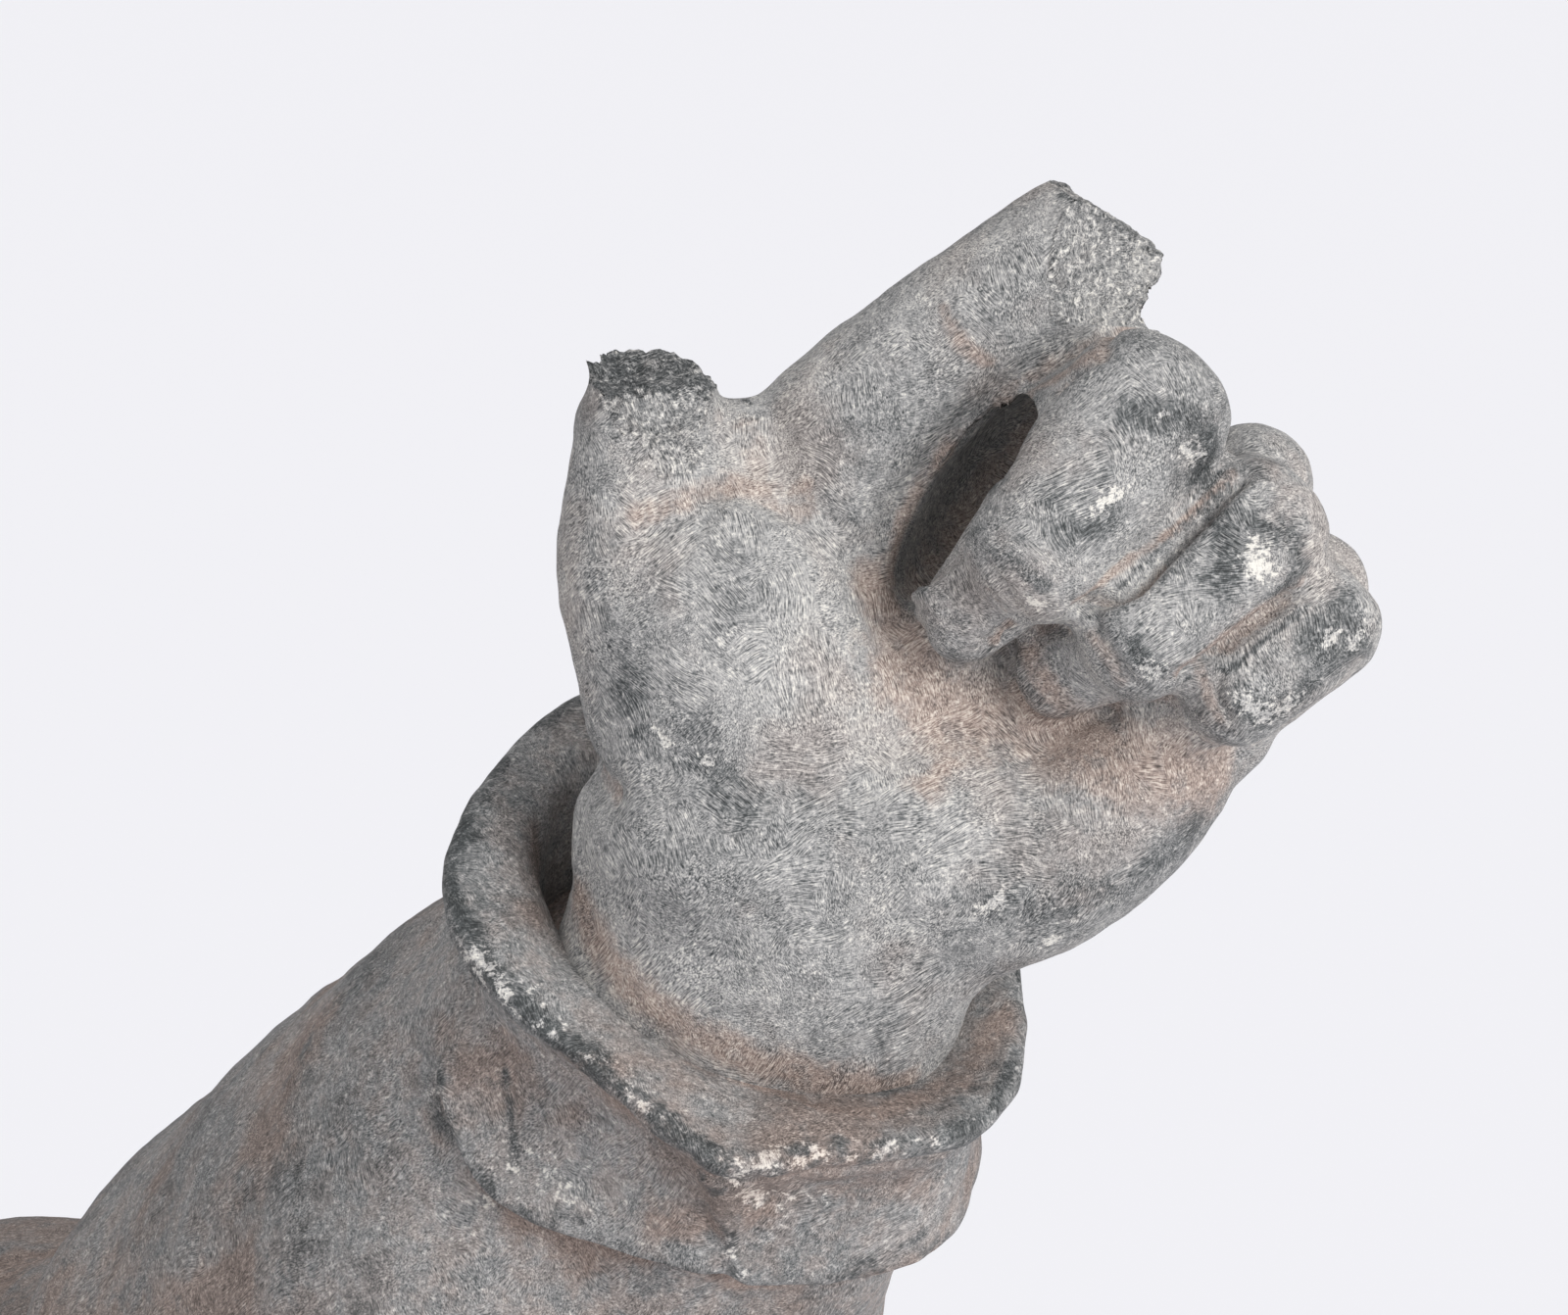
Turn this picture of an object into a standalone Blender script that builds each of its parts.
"""A robed prophet carved in soapstone: raised left hand, rolled scroll in the right, low base.

The figure looks along -Y, so its left hand is at +X. The origin is the middle of the base's underside.
"""

import math

import bmesh
import bpy
import numpy as np
from mathutils import Matrix, Vector, noise

# Driving sizes, in metres.
FIGURE_HEIGHT = 0.700
BASE_WIDTH = 0.256
BASE_DEPTH = 0.222
BASE_HEIGHT = 0.040
BASE_CORNER = 0.034
BASE_CHAMFER = 0.005
SCROLL_LENGTH = 0.150
SCROLL_RADIUS = 0.0105

# The carver's unit: the figure is seven hundred units tall, and its pose and carving are given in units.
UNIT = FIGURE_HEIGHT / 700

# How finely each mass is ground into one skin, in units, and the triangles that it keeps.
BODY_GRAIN, BODY_KEEPS = 2.4, 3150
GRIP_GRAIN, GRIP_KEEPS = 1.1, 480
HEAD_GRAIN, HEAD_KEEPS = 1.2, 2150
HAND_GRAIN, HAND_KEEPS = 0.8, 1800
SLEEVE_KEEPS = 1150

# The raised hand's own frame: x towards its little finger, y up, z out of the palm.
HAND_PLACE = Vector((168, -120, 634))
HAND_TURN = math.radians(-10)
HAND_LEAN = math.radians(10)

# The head's own frame: x to the figure's left, y to its back, z up.
HEAD_PLACE = Vector((0, -8, 645))
HEAD_TURN = math.radians(12)
HEAD_NOD = math.radians(3)


def hand_frame():
    """The raised hand's frame in the figure's."""
    lean, turn = HAND_LEAN, HAND_TURN
    out = Vector((math.sin(turn) * math.cos(lean), -math.cos(turn) * math.cos(lean), math.sin(lean)))
    across = Vector((math.cos(turn), math.sin(turn), 0))
    turned = Matrix((across, out.cross(across), out)).transposed().to_4x4()
    return Matrix.Translation(HAND_PLACE) @ turned


def head_frame():
    """The head's frame in the figure's: turned a little towards the raised hand."""
    turn = Matrix.Rotation(HEAD_TURN, 4, "Z") @ Matrix.Rotation(HEAD_NOD, 4, "X")
    return Matrix.Translation(HEAD_PLACE) @ turn


def facing(along, side=(1, 0, 0)):
    """A turn whose z runs along one direction, with x as near to side as it can be."""
    z = Vector(along).normalized()
    x = Vector(side) - z * z.dot(Vector(side))
    if x.length < 1e-6:
        x = z.orthogonal()
    x.normalize()
    return Matrix((x, z.cross(x), z)).transposed().to_4x4()


def curve_through(stops, values, at):
    """A smooth curve through values at the stops, read at each place in at."""
    stops = np.asarray(stops, float)
    values = np.asarray(values, float)
    steps = np.diff(stops).reshape((-1,) + (1,) * (values.ndim - 1))
    slopes = np.diff(values, axis=0) / steps
    tangents = np.concatenate([slopes[:1], (slopes[1:] + slopes[:-1]) / 2, slopes[-1:]])
    at = np.clip(np.asarray(at, float), stops[0], stops[-1])
    k = np.clip(np.searchsorted(stops, at, side="right") - 1, 0, len(stops) - 2)
    step = (stops[k + 1] - stops[k]).reshape(at.shape + (1,) * (values.ndim - 1))
    t = (at - stops[k]).reshape(step.shape) / step
    return (
        values[k] * (2 * t**3 - 3 * t**2 + 1)
        + tangents[k] * step * (t**3 - 2 * t**2 + t)
        + values[k + 1] * (3 * t**2 - 2 * t**3)
        + tangents[k + 1] * step * (t**3 - t**2)
    )


def round_about(angles, table):
    """A value read round a circle from a table of (degrees, value)."""
    first = table[0][0]
    stops = [degrees for degrees, _ in table]
    values = [value for _, value in table]
    stops = [stops[-1] - 360, *stops, stops[0] + 360]
    values = [values[-1], *values, values[0]]
    return curve_through(stops, values, (np.degrees(angles) - first) % 360 + first)


def step_up(x):
    """A smooth step from 0 to 1 while x goes from 0 to 1."""
    x = np.clip(x, 0, 1)
    return x * x * (3 - 2 * x)


def pleat(phase):
    """Round crests with narrow valleys between them, from 0 to 1."""
    return np.abs(np.sin(phase / 2)) ** 0.85


# Shapes that a mass is built up from


def add_ball(mass, centre, radii, turn=None, fineness=3):
    """An ellipsoid, its third radius along the turn's z."""
    place = Matrix.Translation(centre) @ (turn or Matrix.Identity(4)) @ Matrix.Diagonal((*radii, 1))
    bmesh.ops.create_icosphere(mass, subdivisions=fineness, radius=1, matrix=place)


def add_limb(mass, points, radii):
    """A round limb: a ball at each point, and a cone from each to the next."""
    for point, radius in zip(points, radii):
        add_ball(mass, point, (radius,) * 3)
    for start, end, first, second in zip(points, points[1:], radii, radii[1:]):
        run = Vector(end) - Vector(start)
        bmesh.ops.create_cone(
            mass,
            cap_ends=True,
            segments=28,
            radius1=first,
            radius2=second,
            depth=run.length,
            matrix=Matrix.Translation((Vector(start) + Vector(end)) / 2) @ facing(run),
        )


def add_loft(mass, rings):
    """A closed skin over rings of as many points each, capped at both ends."""
    rows = [[mass.verts.new(point) for point in ring] for ring in rings]
    for lower, upper in zip(rows, rows[1:]):
        for i in range(len(lower)):
            j = (i + 1) % len(lower)
            mass.faces.new((lower[i], lower[j], upper[j], upper[i]))
    mass.faces.new(rows[0][::-1])
    mass.faces.new(rows[-1])


def along_path(stops, path, side, at, angles, wide, deep):
    """Points round a smooth path: at each place, an angle, and the half widths along side and across it."""
    spine = curve_through(stops, path, at)
    run = curve_through(stops, path, at + 0.5) - curve_through(stops, path, at - 0.5)
    run /= np.linalg.norm(run, axis=1, keepdims=True)
    side = np.asarray(side, float)
    x = side - run * (run @ side)[:, None]
    x /= np.linalg.norm(x, axis=1, keepdims=True)
    y = np.cross(run, x)
    return spine + (np.cos(angles) * wide)[:, None] * x + (np.sin(angles) * deep)[:, None] * y


def path_stops(path):
    """How far along a path each of its points lies."""
    gaps = [(Vector(b) - Vector(a)).length for a, b in zip(path, path[1:])]
    return np.concatenate([[0], np.cumsum(gaps)])


def add_tube(mass, stations, side, rings=24, columns=36, folds=None):
    """A smooth limb through stations, each a centre, a half width along side and a half depth."""
    path = [tuple(centre) for centre, _, _ in stations]
    stops = path_stops(path)
    angles = np.arange(columns) * 2 * math.pi / columns
    loft = []
    for place in np.linspace(0, stops[-1], rings):
        at = np.full(columns, place)
        wide = curve_through(stops, [row[1] for row in stations], at)
        deep = curve_through(stops, [row[2] for row in stations], at)
        more = folds(angles, place / stops[-1]) if folds else 0.0
        loft.append(along_path(stops, path, side, at, angles, wide + more, deep + more))
    add_loft(mass, loft)


# The raised hand, in its own frame

FOREARM = Vector((0.24, 0.68, 0.69)).normalized()
ACROSS = Vector((0.943, -0.333, 0))
CUFF_CENTRE = Vector((-3.2, -20.6, -4.0))


def raised_hand(mass):
    """The palm, the thumb and forefinger up to their breaks, and three fingers curled over the palm."""
    near = -FOREARM.cross(ACROSS)
    wrist = CUFF_CENTRE - near * 0.3 + ACROSS * 2.2
    add_tube(
        mass,
        (
            (wrist - FOREARM * 12, 14.8, 11.0),
            (wrist, 15.0, 11.2),
            ((1.5, -14, -0.5), 15.2, 9.8),
            ((5, -5, -1), 16.0, 8.4),
            ((9, 2, -2), 14.0, 7.5),
        ),
        ACROSS,
    )
    for start, knuckle, radius in (
        ((-1, -10, -1), (4.9, 14.8, 0), 7.4),
        ((2, -13, -2), (14.0, 9.5, -1.5), 7.0),
        ((8, -15, -2), (23.0, 2.5, -2), 6.6),
        ((12, -16, -1), (29.5, -4.0, -1), 5.8),
    ):
        add_limb(mass, (start, knuckle), (7.8, radius))
    add_ball(mass, (11, -3, -3), (16, 15, 7.5))
    add_ball(mass, (-3.4, -1.0, 3.0), (10.8, 8.2, 16.5), facing((-0.40, 1, 0.05)))
    add_ball(mass, (-3.0, -13, 0.5), (11.5, 9, 10))
    add_ball(mass, (20.8, -12.2, 1.2), (7.2, 8.0, 14.0), facing((0.9, 0.72, 0)))
    add_ball(mass, (9, -13, 0.5), (14, 10, 9.5))
    thumb = ((-6.0, -6, 1.5), (-10.8, 6.5, 3.4), (-10.0, 15, 3.4), (-9.6, 26, 3.0))
    add_limb(mass, thumb, (8.0, 5.7, 5.1, 5.1))
    add_ball(mass, (-2.0, 14.0, 0.5), (7.5, 4.6, 5.0))
    add_ball(mass, (17.8, 18.2, -1.5), (5.5, 5.5, 4.0))
    add_limb(mass, ((4.9, 15.3, 0.5), (13, 22, 2), (22.5, 29.3, 3.5), (26, 32, 3.5)), (7.2, 6.5, 6.0, 6.0))


# Each curled finger: its knuckle, middle joint, end joint and tip, and the radius at each.
FINGERS = (
    (((14.0, 9.5, -1.5), (25.0, 17.0, 11.0), (17.4, 7.2, 13.4), (12.5, 3.5, 9.2)), (6.8, 6.0, 5.0, 3.9)),
    (((23.0, 3.5, -2.0), (32.8, 9.0, 9.8), (24.4, 1.2, 11.9), (19.4, -1.1, 7.4)), (6.4, 5.0, 4.4, 3.3)),
    (((29.5, -3.0, -1.0), (37.4, 2.4, 8.0), (31.2, -2.4, 9.7), (26.8, -4.5, 6.2)), (5.6, 4.4, 3.9, 3.0)),
)
# The bones that stand out behind the ring and little fingers' middle joints, each a middle and its radii.
KNUCKLES = (((33.0, 12.2, 4.0), (4.5, 4.5, 5.0)), ((37.2, 4.9, 3.0), (4.3, 4.3, 4.6)))

# The hollow of the curl, between the forefinger and the middle finger.
CURL_HOLLOW = Vector((13.9, 10.9, 5.4))
CURL_RADII = (3.5, 8.6, 9.4)
CURL_ALONG = Vector((0.58, 0.81, 0.0))

# Where the forefinger and the thumb are broken off: a point of each break, and the way that it faces.
BREAKS = (
    ((22.2, 29.6, 3.3), (0.85, -0.03, 0.52), (9.0, 6.0)),
    ((22.4, 31.4, 2.2), (0.50, 0.80, 0.33), (8.0, 7.0)),
    ((-9.8, 20.4, 2.0), (0.10, 0.94, 0.30), (7.2, 7.4)),
    ((-9.2, 16.8, 7.4), (0.22, 0.52, 0.82), (7.2, 5.5)),
)


def add_break(mass, point, face, size, seed, cells=6):
    """A block that takes off a broken end, with a rough face at the break."""
    turn = Matrix.Translation(point) @ facing(face, (0.2, 0, 1))
    wide, deep = size
    rings = []
    for level in (14.0, 0.0):
        ring = []
        steps = [(i / cells, 0.0) for i in range(cells)] + [(1.0, i / cells) for i in range(cells)]
        steps += [(1 - i / cells, 1.0) for i in range(cells)] + [(0.0, 1 - i / cells) for i in range(cells)]
        for across, along in steps:
            ring.append((across, along, level))
        rings.append(ring)
    grid = {}

    def corner(across, along, level):
        key = (round(across, 4), round(along, 4), level)
        if key not in grid:
            x, y = (across * 2 - 1) * wide, (along * 2 - 1) * deep
            rough = 0.0
            if level == 0.0:
                spot = Vector((x / 3.4 + seed * 9.1, y / 3.4, seed * 3.3))
                rough = 1.1 * noise.noise(spot) + 0.5 * noise.noise(spot * 2.7)
            grid[key] = mass.verts.new(turn @ Vector((x, y, level + rough)))
        return grid[key]

    def face_of(*corners):
        mass.faces.new([corner(*c) for c in corners])

    for i in range(cells):
        for j in range(cells):
            a, b, c, d = i / cells, (i + 1) / cells, j / cells, (j + 1) / cells
            face_of((a, c, 0.0), (a, d, 0.0), (b, d, 0.0), (b, c, 0.0))
    top, low = rings
    for i in range(len(top)):
        j = (i + 1) % len(top)
        face_of(low[i], low[j], top[j], top[i])
    face_of(*top)


# The raised sleeve, in the raised hand's frame: stations back from the cuff along the arm

SHOULDER = Vector((-103, -87, -119))
SLEEVE_PATH = (
    tuple(CUFF_CENTRE),
    tuple(CUFF_CENTRE - FOREARM * 25),
    (-21, -54, -41),
    (-41, -75, -70),
    (-72, -84, -97),
    tuple(SHOULDER),
    tuple(SHOULDER + Vector((-24, 0, -14))),
)
SLEEVE_STOPS = (0, 25, 52, 88, 128, 166, 194)
SLEEVE_RADIUS = (
    (0, 19.3), (8, 19.3), (25, 19.6), (52, 27.0), (88, 30.5), (128, 32.0), (166, 33.0), (194, 29.0),
)
# By degrees round the cuff, from its right through near, left and behind: how far its rim and its opening
# reach from its middle, how deep the opening is, how far back the second edge lies, and how much the sleeve
# bulges.
RIM_REACH = (
    (-16, 21.0), (0, 21.8), (12, 22.4), (26, 22.0), (42, 20.6), (60, 20.2), (78, 21.2), (88, 19.9),
    (104, 17.8), (122, 17.3), (137, 18.2), (153, 20.2), (175, 22.1), (198, 23.1), (217, 24.9), (231, 26.2), (262, 25.6),
    (300, 23.4), (330, 21.6),
)
OPENING = (
    (0, 17.4), (19, 17.0), (31, 16.0), (45, 13.6), (75, 10.0), (111, 9.2), (148, 10.0), (172, 12.0),
    (215, 13.0), (270, 11.5), (330, 15.0),
)
OPENING_DEPTH = (
    (0, 5.0), (30, 3.4), (75, 2.5), (120, 2.3), (150, 3.2), (180, 6.5), (215, 9.0), (300, 9.0), (340, 7.0),
)
CUFF_EDGE = (
    (0, 18.5), (60, 14.5), (100, 14.0), (125, 13.6), (140, 12.4), (160, 12.5), (185, 15.0), (270, 20.0),
)
SLEEVE_BULGE = ((0, 0.0), (90, 0.0), (150, 0.55), (205, 1.0), (260, 0.6), (320, 0.1))
BULGE_RUN = ((0, 0.0), (8, 0.4), (14, 3.0), (26, 7.6), (52, 4.2), (88, 0.0), (128, 0.0), (194, 0.0))
PLAIN_RIM = 22.6
# Over the rim's edge: how far back, and how far out from the rim.
LIP = ((0.0, -0.9), (0.25, 0.0), (1.6, 0.0), (3.1, -1.5), (5.8, -3.1), (7.4, -3.3))
# The band: how far along it is from the lip to the second edge, and how far out from the sleeve.
BAND = ((0.30, 0.4), (0.60, 1.1), (0.88, 2.0), (0.97, 2.1), (1.0, 1.5), (1.01, -0.4))
# The cuff's right half laps over its left half by this much, up to the near side.
LAP, LAP_ANGLE = 1.3, 87


def sleeve_folds(angles, back):
    """Folds that wind round the sleeve and fade out at the cuff."""
    grow = np.clip((back - 22) / 34, 0, 1)
    phase = angles * 1.5 + back * 0.047 + 0.7 * np.sin(angles + 0.4)
    wind = 0.55 * pleat(2 * phase) + 0.45 * (0.5 - 0.5 * np.cos(2 * phase))
    crook = 1.4 * np.exp(-(((back - 84) / 30) ** 2)) * np.sin(back * 0.22 + 2.2 * np.cos(angles + 0.6))
    return grow * (3.4 * (wind - 0.6) + crook)


def sleeve_reach(angles, back):
    """How far the plain sleeve reaches from its middle, some way back from the cuff's face."""
    cuff = round_about(angles, RIM_REACH) - PLAIN_RIM
    plain = curve_through([s for s, _ in SLEEVE_RADIUS], [r for _, r in SLEEVE_RADIUS], back)
    bulge = curve_through([s for s, _ in BULGE_RUN], [r for _, r in BULGE_RUN], back)
    return plain + cuff * (1 - step_up((back - 3) / 14)) + round_about(angles, SLEEVE_BULGE) * bulge


def raised_sleeve(mass, columns=96, rings=30):
    """The sleeve from the bottom of its opening, over the cuff's rim and band, to the shoulder."""
    angles = np.arange(columns) * 2 * math.pi / columns
    degrees = (np.degrees(angles) + 60) % 360 - 60
    rim = round_about(angles, RIM_REACH)
    opening = round_about(angles, OPENING)
    depth = round_about(angles, OPENING_DEPTH)
    edge = round_about(angles, CUFF_EDGE)
    rows = []
    for share in np.linspace(0, 1, 6):
        rows.append((depth * (1 - share) ** 1.7, opening + (rim - 0.9 - opening) * share))
    rows += [(back + 0 * rim, rim + out) for back, out in LIP[1:]]
    start = LIP[-1][0]
    # The band fades out on the left.
    strength = 1 - 0.85 * step_up((degrees - 140) / 30) * (1 - step_up((degrees - 250) / 40))
    for share, out in BAND:
        back = start + (edge - start) * share
        rows.append((back, sleeve_reach(angles, back) + (out + 0.4) * strength - 0.4))
    for share in np.linspace(0.02, 1, rings):
        back = edge + 0.6 + (SLEEVE_STOPS[-1] - edge - 0.6) * share
        seam = -0.3 * (1 - np.clip((back - edge) / 14, 0, 1))
        rows.append((back, sleeve_reach(angles, back) + sleeve_folds(angles, back) + seam))
    loft = []
    for back, reach in rows:
        over = step_up((LAP_ANGLE - 1.5 * (back - 3) - degrees) / 4) * step_up((degrees + 50) / 30)
        over = over * step_up((back - 2.4) / 1.6) * (1 - step_up(back - edge))
        radius = reach + LAP * over
        loft.append(along_path(SLEEVE_STOPS, SLEEVE_PATH, ACROSS, back, angles, radius, radius))
    add_loft(mass, loft)


# The robed body

# Height, half width, half depth, and how far the middle lies to the left and to the back.
BODY = (
    (-6, 100, 83, 2, 4),
    (14, 97, 80, 2, 4),
    (100, 88, 72, 3, 2),
    (200, 80, 66, 5, -1),
    (300, 78, 62, 7, -3),
    (380, 79, 58, 7, -2),
    (440, 72, 51, 4, 0),
    (500, 77, 51, -1, 0),
    (536, 80, 46, -2, 2),
    (556, 66, 40, -1, 4),
    (574, 42, 33, 0, 6),
    (592, 27, 28, 0, 6),
    (622, 22, 24, 0, 4),
)
BODY_SQUARENESS = 2.3
# The mantle's lower and upper edges: degrees from the front towards the figure's left, and height.
MANTLE_FOOT = (
    (-180, 98), (-130, 92), (-95, 112), (-60, 160), (-30, 212), (0, 258),
    (30, 302), (60, 342), (76, 352), (88, 228), (98, 106), (140, 92),
)
MANTLE_TOP = (
    (-180, 548), (-140, 484), (-110, 436), (-90, 420), (-60, 414), (-30, 424),
    (0, 446), (30, 492), (50, 534), (70, 575), (100, 600), (140, 588),
)
KNEE_ANGLE, KNEE_HEIGHT = math.radians(26), 212


def body_reach(angles, height):
    """How far the tunic and mantle reach from the body's middle at each angle and height."""
    heights = [row[0] for row in BODY]
    width = curve_through(heights, [row[1] for row in BODY], height)
    depth = curve_through(heights, [row[2] for row in BODY], height)
    p = BODY_SQUARENESS
    plain = ((np.abs(np.sin(angles)) / width) ** p + (np.abs(np.cos(angles)) / depth) ** p) ** (-1 / p)
    around = (angles - KNEE_ANGLE + math.pi) % (2 * math.pi) - math.pi
    thigh = np.exp(-((around / 0.30) ** 2))
    thigh = thigh * step_up((height - 20) / 190) * (1 - step_up((height - KNEE_HEIGHT) / 170))
    plain = plain + 13 * thigh
    # The tunic hangs in upright pleats that deepen towards the hem.
    phase = 15 * angles + 1.3 * np.sin(2 * angles + 0.5) + 0.9 * np.sin(3 * angles + height / 70)
    hang = 1 - step_up(height / 560)
    tunic = plain + (1.5 + 9.0 * hang) * (pleat(phase) - 0.55) * (1 - 0.75 * thigh)
    # The mantle winds from the left shoulder over the back, under the right arm and up across the front.
    foot = round_about(angles, MANTLE_FOOT) + 5 * np.sin(6 * angles + 1)
    top = round_about(angles, MANTLE_TOP)
    share = (height - foot) / (top - foot)
    front = step_up((np.cos(angles - 0.05) + 0.25) / 0.5)
    swag = pleat(2 * math.pi * (4.3 * share + 0.22 * np.sin(2 * angles + 0.4) + 0.07 * np.sin(7 * angles)))
    fall = pleat(9 * angles + 1.1 * np.sin(2 * angles) + (height - 100) * 0.010)
    lower = 1 - step_up((height - 100) / 420)
    folds = front * 7.0 * (swag - 0.5) + (1 - front) * (6 + 5 * lower) * (fall - 0.5)
    roll = 5.0 * np.exp(-(((height - top + 9) / 9) ** 2)) * front
    mantle = plain + 9.5 + folds + roll
    inside = step_up((height - foot) / 2.4) * step_up((top - height) / 2.4)
    return tunic + (np.maximum(mantle, tunic + 2.5) - tunic) * inside


def robe(mass, columns=300, rings=230):
    """The robed body, from inside the base to inside the head."""
    angles = np.arange(columns) * 2 * math.pi / columns
    heights = [row[0] for row in BODY]
    loft = []
    for height in np.linspace(heights[0], heights[-1], rings):
        level = np.full(columns, height)
        reach = body_reach(angles, level)
        left = curve_through(heights, [row[3] for row in BODY], level)
        back = curve_through(heights, [row[4] for row in BODY], level)
        loft.append(np.stack([left + reach * np.sin(angles), back - reach * np.cos(angles), level], axis=1))
    add_loft(mass, loft)


# The right arm, its hand and the scroll

RIGHT_SLEEVE = (
    ((-52, 6, 548), 22, 24),
    ((-80, 8, 506), 27, 27),
    ((-103, 12, 440), 27, 29),
    ((-103, -6, 402), 27, 33),
    ((-86, -40, 408), 24, 32),
    ((-70, -62, 424), 20, 26),
)
WRIST = (((-82, -44, 424), 13), ((-66, -68, 438), 11.5), ((-56, -80, 446), 11.0))
SCROLL_FOOT = Vector((-34, -84, 392))
SCROLL_LEAN = Vector((0.16, 0.22, 1)).normalized()


def right_folds(angles, share):
    """Folds that gather at the crook of the elbow and hang from it."""
    crook = math.exp(-(((share - 0.52) / 0.2) ** 2))
    wind = pleat(2 * (1.5 * angles + 7 * share + 0.6 * np.sin(angles)))
    across = np.sin(34 * share + 1.6 * np.cos(angles))
    return (2.0 + 2.4 * share) * (wind - 0.6) * 1.5 + 2.2 * crook * across


def right_sleeve(mass):
    """The wide right sleeve, bent at the elbow across the waist."""
    add_tube(mass, RIGHT_SLEEVE, (0.6, -0.8, 0.1), rings=44, columns=48, folds=right_folds)
    add_ball(mass, (-76, 4, 462), (18, 24, 62))


def right_hand(mass):
    """The right wrist and the hand closed round the scroll."""
    add_limb(mass, [point for point, _ in WRIST], [radius for _, radius in WRIST])
    grip = SCROLL_FOOT + SCROLL_LEAN * 56
    reach = SCROLL_RADIUS / UNIT + 2.0
    add_ball(mass, grip + Vector((-17, 1, 0)), (9.5, 13, 18))
    for i in range(4):
        level = grip + SCROLL_LEAN * (14 - 9.2 * i)
        bend = [level + Vector((reach * math.cos(a), -reach * math.sin(a), 0)) for a in (2.9, 2.1, 1.3, 0.5)]
        add_limb(mass, bend, (5.6, 5.4, 5.0, 4.4))
    add_limb(mass, [grip + Vector(v) for v in ((-18, 2, 14), (-8, 12, 22), (6, 11, 25))], (5.8, 5.4, 4.4))


def scroll(mass):
    """The rolled sheet."""
    length = SCROLL_LENGTH / UNIT
    radius = SCROLL_RADIUS / UNIT
    bmesh.ops.create_cone(
        mass,
        cap_ends=True,
        segments=28,
        radius1=radius,
        radius2=radius,
        depth=length,
        matrix=Matrix.Translation(SCROLL_FOOT + SCROLL_LEAN * length / 2) @ facing(SCROLL_LEAN),
    )


# Each foot's middle, and the way that it points.
FEET = (((-34, -84, 7), (-0.18, -1)), ((44, -92, 7), (0.30, -1)))


def feet(mass):
    """The front of each sandalled foot, out from under the hem."""
    for (x, y, z), (aside, ahead) in FEET:
        run = Vector((aside, ahead, 0)).normalized()
        add_ball(mass, Vector((x, y, z)) - run * 4, (14, 11, 24), facing(run))
        add_ball(mass, Vector((x, y, z - 7)), (17, 6, 30), facing(run))
        side = Vector((-run.y, run.x, 0))
        for i, size in enumerate((5.2, 4.4, 4.2, 3.9, 3.6)):
            spread = side * (10 - 5.6 * i) * (1 if x < 0 else -1)
            reach = run * (22 - 1.6 * i)
            start = Vector((x, y, z)) + spread + reach * 0.6
            end = Vector((x, y, z - 2)) + spread + reach
            add_limb(mass, (start, end), (size, size))


# The head, in its own frame


# The locks of hair beside the face, from the front one to the back one, and those of the beard, each on the
# left side. A station is a middle and a radius.
HAIR_LOCKS = (
    (
        ((2, -14, 43), 6.5), ((17, -21, 38), 8.0), ((29, -16, 22), 7.5), ((33, -9, -4), 7.5),
        ((33, -9, -26), 7.5), ((35, -6, -46), 7.0), ((32, -10, -66), 6.5), ((26, -17, -87), 4.0),
    ),
    (
        ((2, -3, 46), 7.0), ((20, -6, 42), 8.0), ((34, -4, 22), 7.0), ((37, 2, -4), 7.5), ((38, 5, -30), 8.0),
        ((37, 3, -52), 8.0), ((36, 7, -74), 7.0), ((31, -3, -96), 4.0),
    ),
    (
        ((2, 10, 46), 7.0), ((22, 10, 41), 8.0), ((35, 12, 20), 8.0), ((38, 17, -6), 8.0),
        ((40, 21, -34), 8.0), ((38, 19, -58), 8.0), ((36, 24, -82), 7.0), ((31, 14, -104), 4.0),
    ),
)
BEARD_LOCKS = (
    (
        ((26, -11, -12), 6.0), ((24, -23, -32), 7.5), ((20, -29, -50), 7.0), ((13, -31, -68), 5.5),
        ((9, -34, -80), 3.0),
    ),
    (((16, -26, -32), 6.5), ((11, -35, -48), 6.5), ((8, -38, -68), 5.5), ((2.5, -37, -88), 3.0)),
    (((4.5, -36, -34), 5.5), ((3.5, -39, -52), 5.5), ((5, -40, -68), 4.5), ((1, -40, -82), 2.6)),
)


# The cuts between the beard's locks and between the hair's: the path, reach and height of each.
LOCK_EDGES = (
    (((9, -46, -34), (6, -48, -56), (1, -46, -84)), 1.9, -3.4),
    (((19, -40, -34), (15, -42, -56), (7, -42, -80)), 1.9, -3.4),
    (((14, -16, 50), (34, -12, 22), (44, -6, -4), (44, -2, -34), (42, -6, -62), (33, -12, -90)), 2.3, -3.4),
    (((14, 4, 54), (40, 4, 22), (48, 10, -6), (48, 13, -34), (46, 12, -62), (40, 6, -94)), 2.3, -3.4),
)


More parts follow.
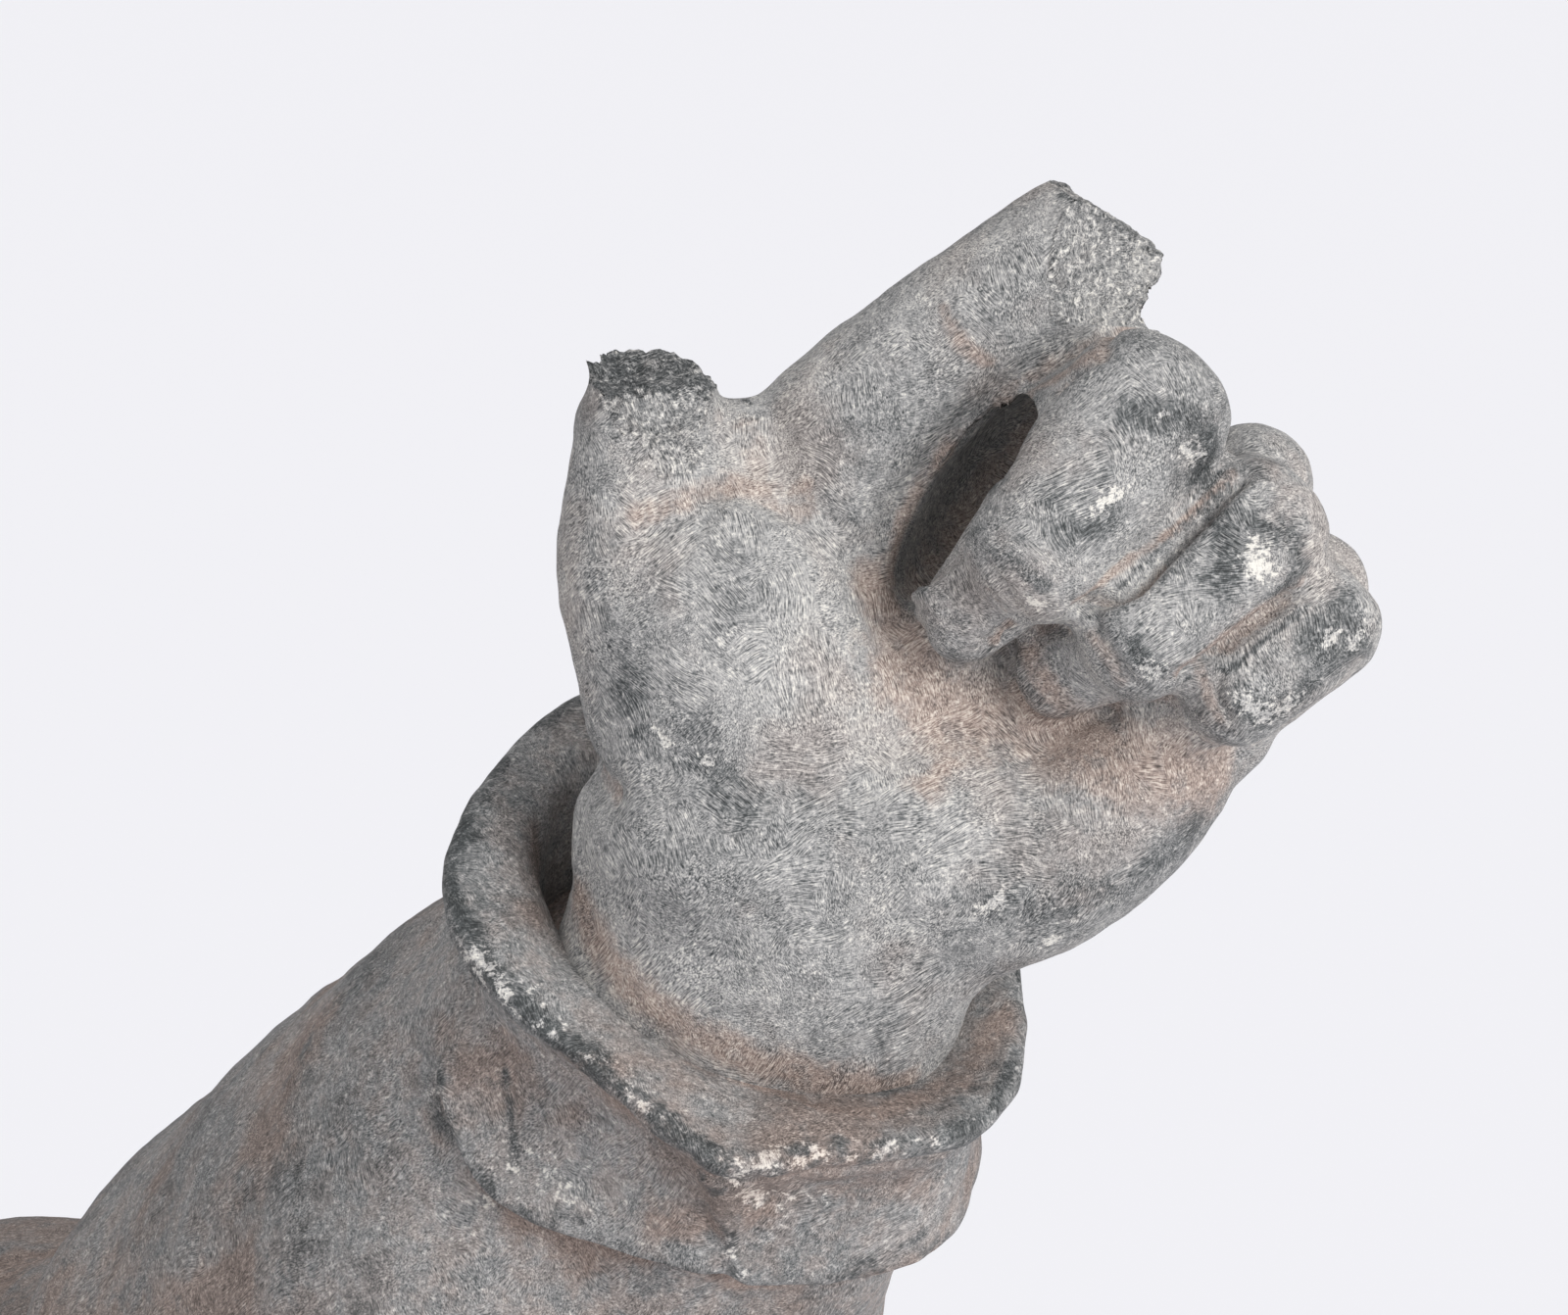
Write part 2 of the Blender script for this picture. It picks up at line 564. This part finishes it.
def head(mass):
    """The face and neck, with long parted hair and a full beard."""
    add_ball(mass, (0, 5, 16), (34, 41, 38))
    add_ball(mass, (0, -12, -6), (27, 30, 36))
    add_limb(mass, ((0, 8, -20), (0, 12, -70)), (24, 23))
    add_ball(mass, (0, -22, -36), (21, 18, 17))
    add_ball(mass, (0, 22, -2), (33, 28, 42))
    fall = (((0, 26, 10), 30, 18), ((0, 30, -30), 35, 20), ((0, 34, -66), 38, 17), ((0, 36, -92), 30, 11))
    add_tube(mass, fall, (1, 0, 0))
    for side in (-1, 1):
        add_ball(mass, (15 * side, -29, -9), (10, 10, 11))
        for lock in HAIR_LOCKS:
            stations = [((x * side, y, z), radius, radius) for (x, y, z), radius in lock]
            add_tube(mass, stations, (0, 1, 0), rings=30, columns=14)
        for lock in BEARD_LOCKS:
            add_limb(mass, [(x * side, y, z) for (x, y, z), _ in lock], [radius for _, radius in lock])
        add_limb(mass, ((2 * side, -42, -16), (10 * side, -40, -19), (18 * side, -35, -29)), (3.4, 3.9, 3.0))
        add_ball(mass, (12.5 * side, -34.0, 3.5), (6.8, 6.2, 5.2))
        brow = ((5 * side, -38.6, 10.5), (13 * side, -37.5, 12.4), (22 * side, -31, 9.5))
        add_limb(mass, brow, (3.0, 3.0, 2.6))
        add_ball(mass, (5.6 * side, -42.5, -9), (3.4, 4.0, 3.0))
    add_limb(mass, ((0, -38, 12), (0, -44, 1), (0, -48.5, -8)), (3.6, 3.6, 4.4))
    add_ball(mass, (0, -41.0, -25), (7, 4.0, 3.0))
    add_limb(mass, ((0, -28, -38), (0, -29, -60), (0, -33, -84)), (16, 12, 5))


def head_strokes():
    """Cuts that part the hair and beard into locks: (path, reach, height)."""
    strokes = [(((0, -36, 42), (0, -10, 56), (0, 30, 52)), 2.0, -1.2)]
    for side in (-1, 1):
        for row, reach, height in LOCK_EDGES:
            strokes.append(([(x * side, y, z) for x, y, z in row], reach, height))
        # The hair's back, in long waves.
        for k in range(4):
            path = []
            for t in np.linspace(0, 1, 9):
                tilt = 0.25 + 1.4 * min(t * 1.8, 1)
                drop = max(0.0, t - 0.5) * 170
                turn = 0.85 + 0.2 * k
                wave = 2.0 * math.sin(10 * t + 2 * k)
                x = 42 * math.sin(tilt) * math.cos(turn) + wave
                y = 8 + 46 * math.sin(tilt) * math.sin(turn)
                path.append((x * side, y, 16 + 38 * math.cos(tilt) - drop))
            strokes.append((path, 2.3, -2.1))
    strokes.append((((-7, -46, -21.5), (0, -47, -21), (7, -46, -21.5)), 1.6, -1.6))
    return strokes


# The low base


def base_outline(inset):
    """An oblong with round corners: points round it, closely spaced at the corners."""
    wide, deep = BASE_WIDTH / 2 - BASE_CORNER, BASE_DEPTH / 2 - BASE_CORNER
    outline = []
    for corner in range(4):
        x = wide * (1, -1, -1, 1)[corner]
        y = deep * (1, 1, -1, -1)[corner]
        for step in range(7):
            a = math.radians(90 * corner + 15 * step)
            outline.append((x + (BASE_CORNER - inset) * math.cos(a), y + (BASE_CORNER - inset) * math.sin(a)))
        run = (2 * wide, 2 * deep)[corner % 2]
        ahead = math.radians(90 * corner + 180)
        for step in range(1, 7):
            reach = run * step / 7
            last = outline[-step]
            outline.append((last[0] + reach * math.cos(ahead), last[1] + reach * math.sin(ahead)))
    return outline


def base(mass):
    """The low base, rough at its sides and chamfered above."""
    rings = []
    for inset, height, rough in (
        (0.0012, 0.0, 0.0),
        (0.0, 0.002, 0.0),
        (0.0, BASE_HEIGHT * 0.45, 0.0016),
        (0.0, BASE_HEIGHT - BASE_CHAMFER, 0.0010),
        (BASE_CHAMFER, BASE_HEIGHT, 0.0),
    ):
        ring = []
        for x, y in base_outline(inset):
            bump = 0.5 + 0.5 * noise.noise(Vector((x * 45, y * 45, height * 60)))
            shrink = 1 - rough * bump / (BASE_DEPTH / 2)
            ring.append((x * shrink, y * shrink, height))
        rings.append(ring)
    add_loft(mass, rings)


# From masses to stone


def placed(frame=Matrix.Identity(4)):
    """Takes units in a frame to metres above the base's underside."""
    return Matrix.Translation((0, 0, BASE_HEIGHT)) @ Matrix.Diagonal((UNIT, UNIT, UNIT, 1)) @ frame


def shape_of(name, builders, place):
    """An object built up by its functions and put in its place."""
    mass = bmesh.new()
    for builder in builders:
        builder(mass)
    bmesh.ops.transform(mass, matrix=place, verts=mass.verts)
    bmesh.ops.recalc_face_normals(mass, faces=mass.faces)
    mesh = bpy.data.meshes.new(name)
    mass.to_mesh(mesh)
    mass.free()
    made = bpy.data.objects.new(name, mesh)
    bpy.context.scene.collection.objects.link(made)
    return made


def settle(made):
    """Fixes an object's modifiers into its mesh."""
    bpy.context.view_layer.update()
    shown = made.evaluated_get(bpy.context.evaluated_depsgraph_get())
    mesh = bpy.data.meshes.new_from_object(shown)
    made.modifiers.clear()
    made.data = mesh


def grind(made, grain, rounds):
    """Fuses an object's overlapping shapes into one skin and rubs it smooth."""
    fuse = made.modifiers.new("Fuse", "REMESH")
    fuse.mode = "VOXEL"
    fuse.voxel_size = grain * UNIT
    rub = made.modifiers.new("Rub", "SMOOTH")
    rub.factor = 0.5
    rub.iterations = rounds
    settle(made)


def combine(made, other, operation):
    """Joins a shape to an object or cuts it away, and hides the shape."""
    change = made.modifiers.new(other.name, "BOOLEAN")
    change.operation = operation
    change.solver = "EXACT"
    change.object = other
    settle(made)
    bpy.data.objects.remove(other)


def drop_crumbs(made):
    """Leaves only an object's largest piece."""
    mass = bmesh.new()
    mass.from_mesh(made.data)
    left = set(mass.verts)
    pieces = []
    while left:
        piece = {left.pop()}
        edge_of_piece = list(piece)
        while edge_of_piece:
            near = {edge.other_vert(vert) for vert in edge_of_piece for edge in vert.link_edges} - piece
            piece |= near
            edge_of_piece = list(near)
        left -= piece
        pieces.append(piece)
    pieces.sort(key=len)
    bmesh.ops.delete(mass, geom=[vert for piece in pieces[:-1] for vert in piece], context="VERTS")
    mass.to_mesh(made.data)
    mass.free()


def reduce_to(made, count):
    """Brings an object down to about so many triangles."""
    made.data.calc_loop_triangles()
    fewer = made.modifiers.new("Fewer", "DECIMATE")
    fewer.ratio = min(1.0, count / len(made.data.loop_triangles))
    settle(made)


def stroke(made, strokes, place):
    """Raises or cuts an object's skin along paths, given as (path, reach, height) in the frame of place."""
    mesh = made.data
    points = np.empty(len(mesh.vertices) * 3)
    mesh.vertices.foreach_get("co", points)
    points = points.reshape(-1, 3)
    normals = np.empty(len(mesh.vertices) * 3)
    mesh.vertex_normals.foreach_get("vector", normals)
    normals = normals.reshape(-1, 3)
    raised = points.copy()
    for path, reach, height in strokes:
        reach *= UNIT
        path = [np.array(place @ Vector(point)) for point in path]
        path = [points[np.argmin(((points - point) ** 2).sum(axis=1))] for point in path]
        nearest = np.full(len(points), np.inf)
        for start, end in zip(path, path[1:]):
            run = end - start
            length = max(float(run @ run), 1e-12)
            t = np.clip((points - start) @ run / length, 0, 1)
            gap = points - start - t[:, None] * run
            nearest = np.minimum(nearest, (gap**2).sum(axis=1))
        raised += normals * (height * UNIT * np.exp(-nearest / reach**2))[:, None]
    mesh.vertices.foreach_set("co", raised.ravel())
    mesh.update()


def stone():
    """Grey soapstone."""
    made = bpy.data.materials.new("soapstone")
    made.use_nodes = True
    shader = made.node_tree.nodes["Principled BSDF"]
    shader.inputs["Base Color"].default_value = (0.27, 0.26, 0.25, 1)
    shader.inputs["Roughness"].default_value = 0.72
    return made


def main():
    for leftover in list(bpy.data.objects):
        bpy.data.objects.remove(leftover)
    in_hand = placed(hand_frame())
    in_head = placed(head_frame())

    statue = shape_of("statue", [base], Matrix.Identity(4))

    body = shape_of("body", [feet, right_sleeve, robe], placed())
    grind(body, BODY_GRAIN, 3)
    reduce_to(body, BODY_KEEPS)
    combine(statue, body, "UNION")

    grip = shape_of("grip", [right_hand, scroll], placed())
    grind(grip, GRIP_GRAIN, 2)
    reduce_to(grip, GRIP_KEEPS)
    combine(statue, grip, "UNION")

    crown = shape_of("crown", [head], in_head)
    grind(crown, HEAD_GRAIN, 5)
    stroke(crown, head_strokes(), in_head)
    reduce_to(crown, HEAD_KEEPS)
    combine(statue, crown, "UNION")

    sleeve = shape_of("sleeve", [raised_sleeve], in_hand)
    reduce_to(sleeve, SLEEVE_KEEPS)
    combine(statue, sleeve, "UNION")

    def fingers(mass):
        for joints, radii in FINGERS:
            add_limb(mass, joints, radii)
        for middle, radii in KNUCKLES:
            add_ball(mass, middle, radii)

    def hollow(mass):
        wide, long, deep = CURL_RADII
        add_ball(mass, CURL_HOLLOW, (wide, deep, long), facing(CURL_ALONG, (0.8, -0.6, 0)), fineness=2)

    hand = shape_of("hand", [raised_hand, fingers], in_hand)
    grind(hand, HAND_GRAIN, 6)
    reduce_to(hand, HAND_KEEPS)
    combine(hand, shape_of("hollow", [hollow], in_hand), "DIFFERENCE")
    for i, (point, face, size) in enumerate(BREAKS):

        def block(mass, point=point, face=face, size=size, i=i):
            add_break(mass, point, face, size, seed=i + 1)

        combine(hand, shape_of(f"break_{i}", [block], in_hand), "DIFFERENCE")
    drop_crumbs(hand)
    combine(statue, hand, "UNION")

    statue.data.materials.clear()
    statue.data.materials.append(stone())


main()
